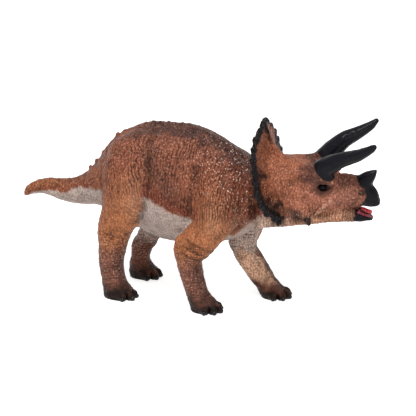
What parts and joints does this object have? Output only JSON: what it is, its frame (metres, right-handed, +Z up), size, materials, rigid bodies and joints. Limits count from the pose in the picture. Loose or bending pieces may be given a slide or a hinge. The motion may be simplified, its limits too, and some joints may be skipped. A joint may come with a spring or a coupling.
{
  "type": "toy dinosaur figure",
  "caption": "Hand-painted vinyl horned dinosaur figure standing in a walking pose, with a plug-in head, legs, tail and horns on a hollow trunk.",
  "frame": {"origin": "on the ground, under the middle of the figure's bounding box", "axes": "+X from tail to nose, +Y to the figure's left side, +Z up"},
  "size_m": [0.1832, 0.0576, 0.0944],
  "materials": {
    "body_paint": "vinyl, airbrushed brown with a matt coat",
    "limb_paint": "vinyl, airbrushed orange brown fading to black feet",
    "frill_paint": "vinyl, airbrushed orange with a black rim",
    "jaw_paint": "vinyl, airbrushed tan with a black beak",
    "tongue_paint": "vinyl, glossy red brush paint",
    "horn_paint": "vinyl, satin black paint"
  },
  "bodies": {
    "root": {"torso_right_shell": "body_paint", "torso_left_shell": "body_paint", "tail": "body_paint", "hind_leg_right": "limb_paint", "hind_leg_left": "limb_paint", "front_leg_right": "limb_paint", "front_leg_left": "limb_paint", "head": "frill_paint", "lower_jaw": "jaw_paint", "tongue": "tongue_paint", "brow_horn_right": "horn_paint", "brow_horn_left": "horn_paint", "nose_horn": "horn_paint"}
  },
  "joints": []
}
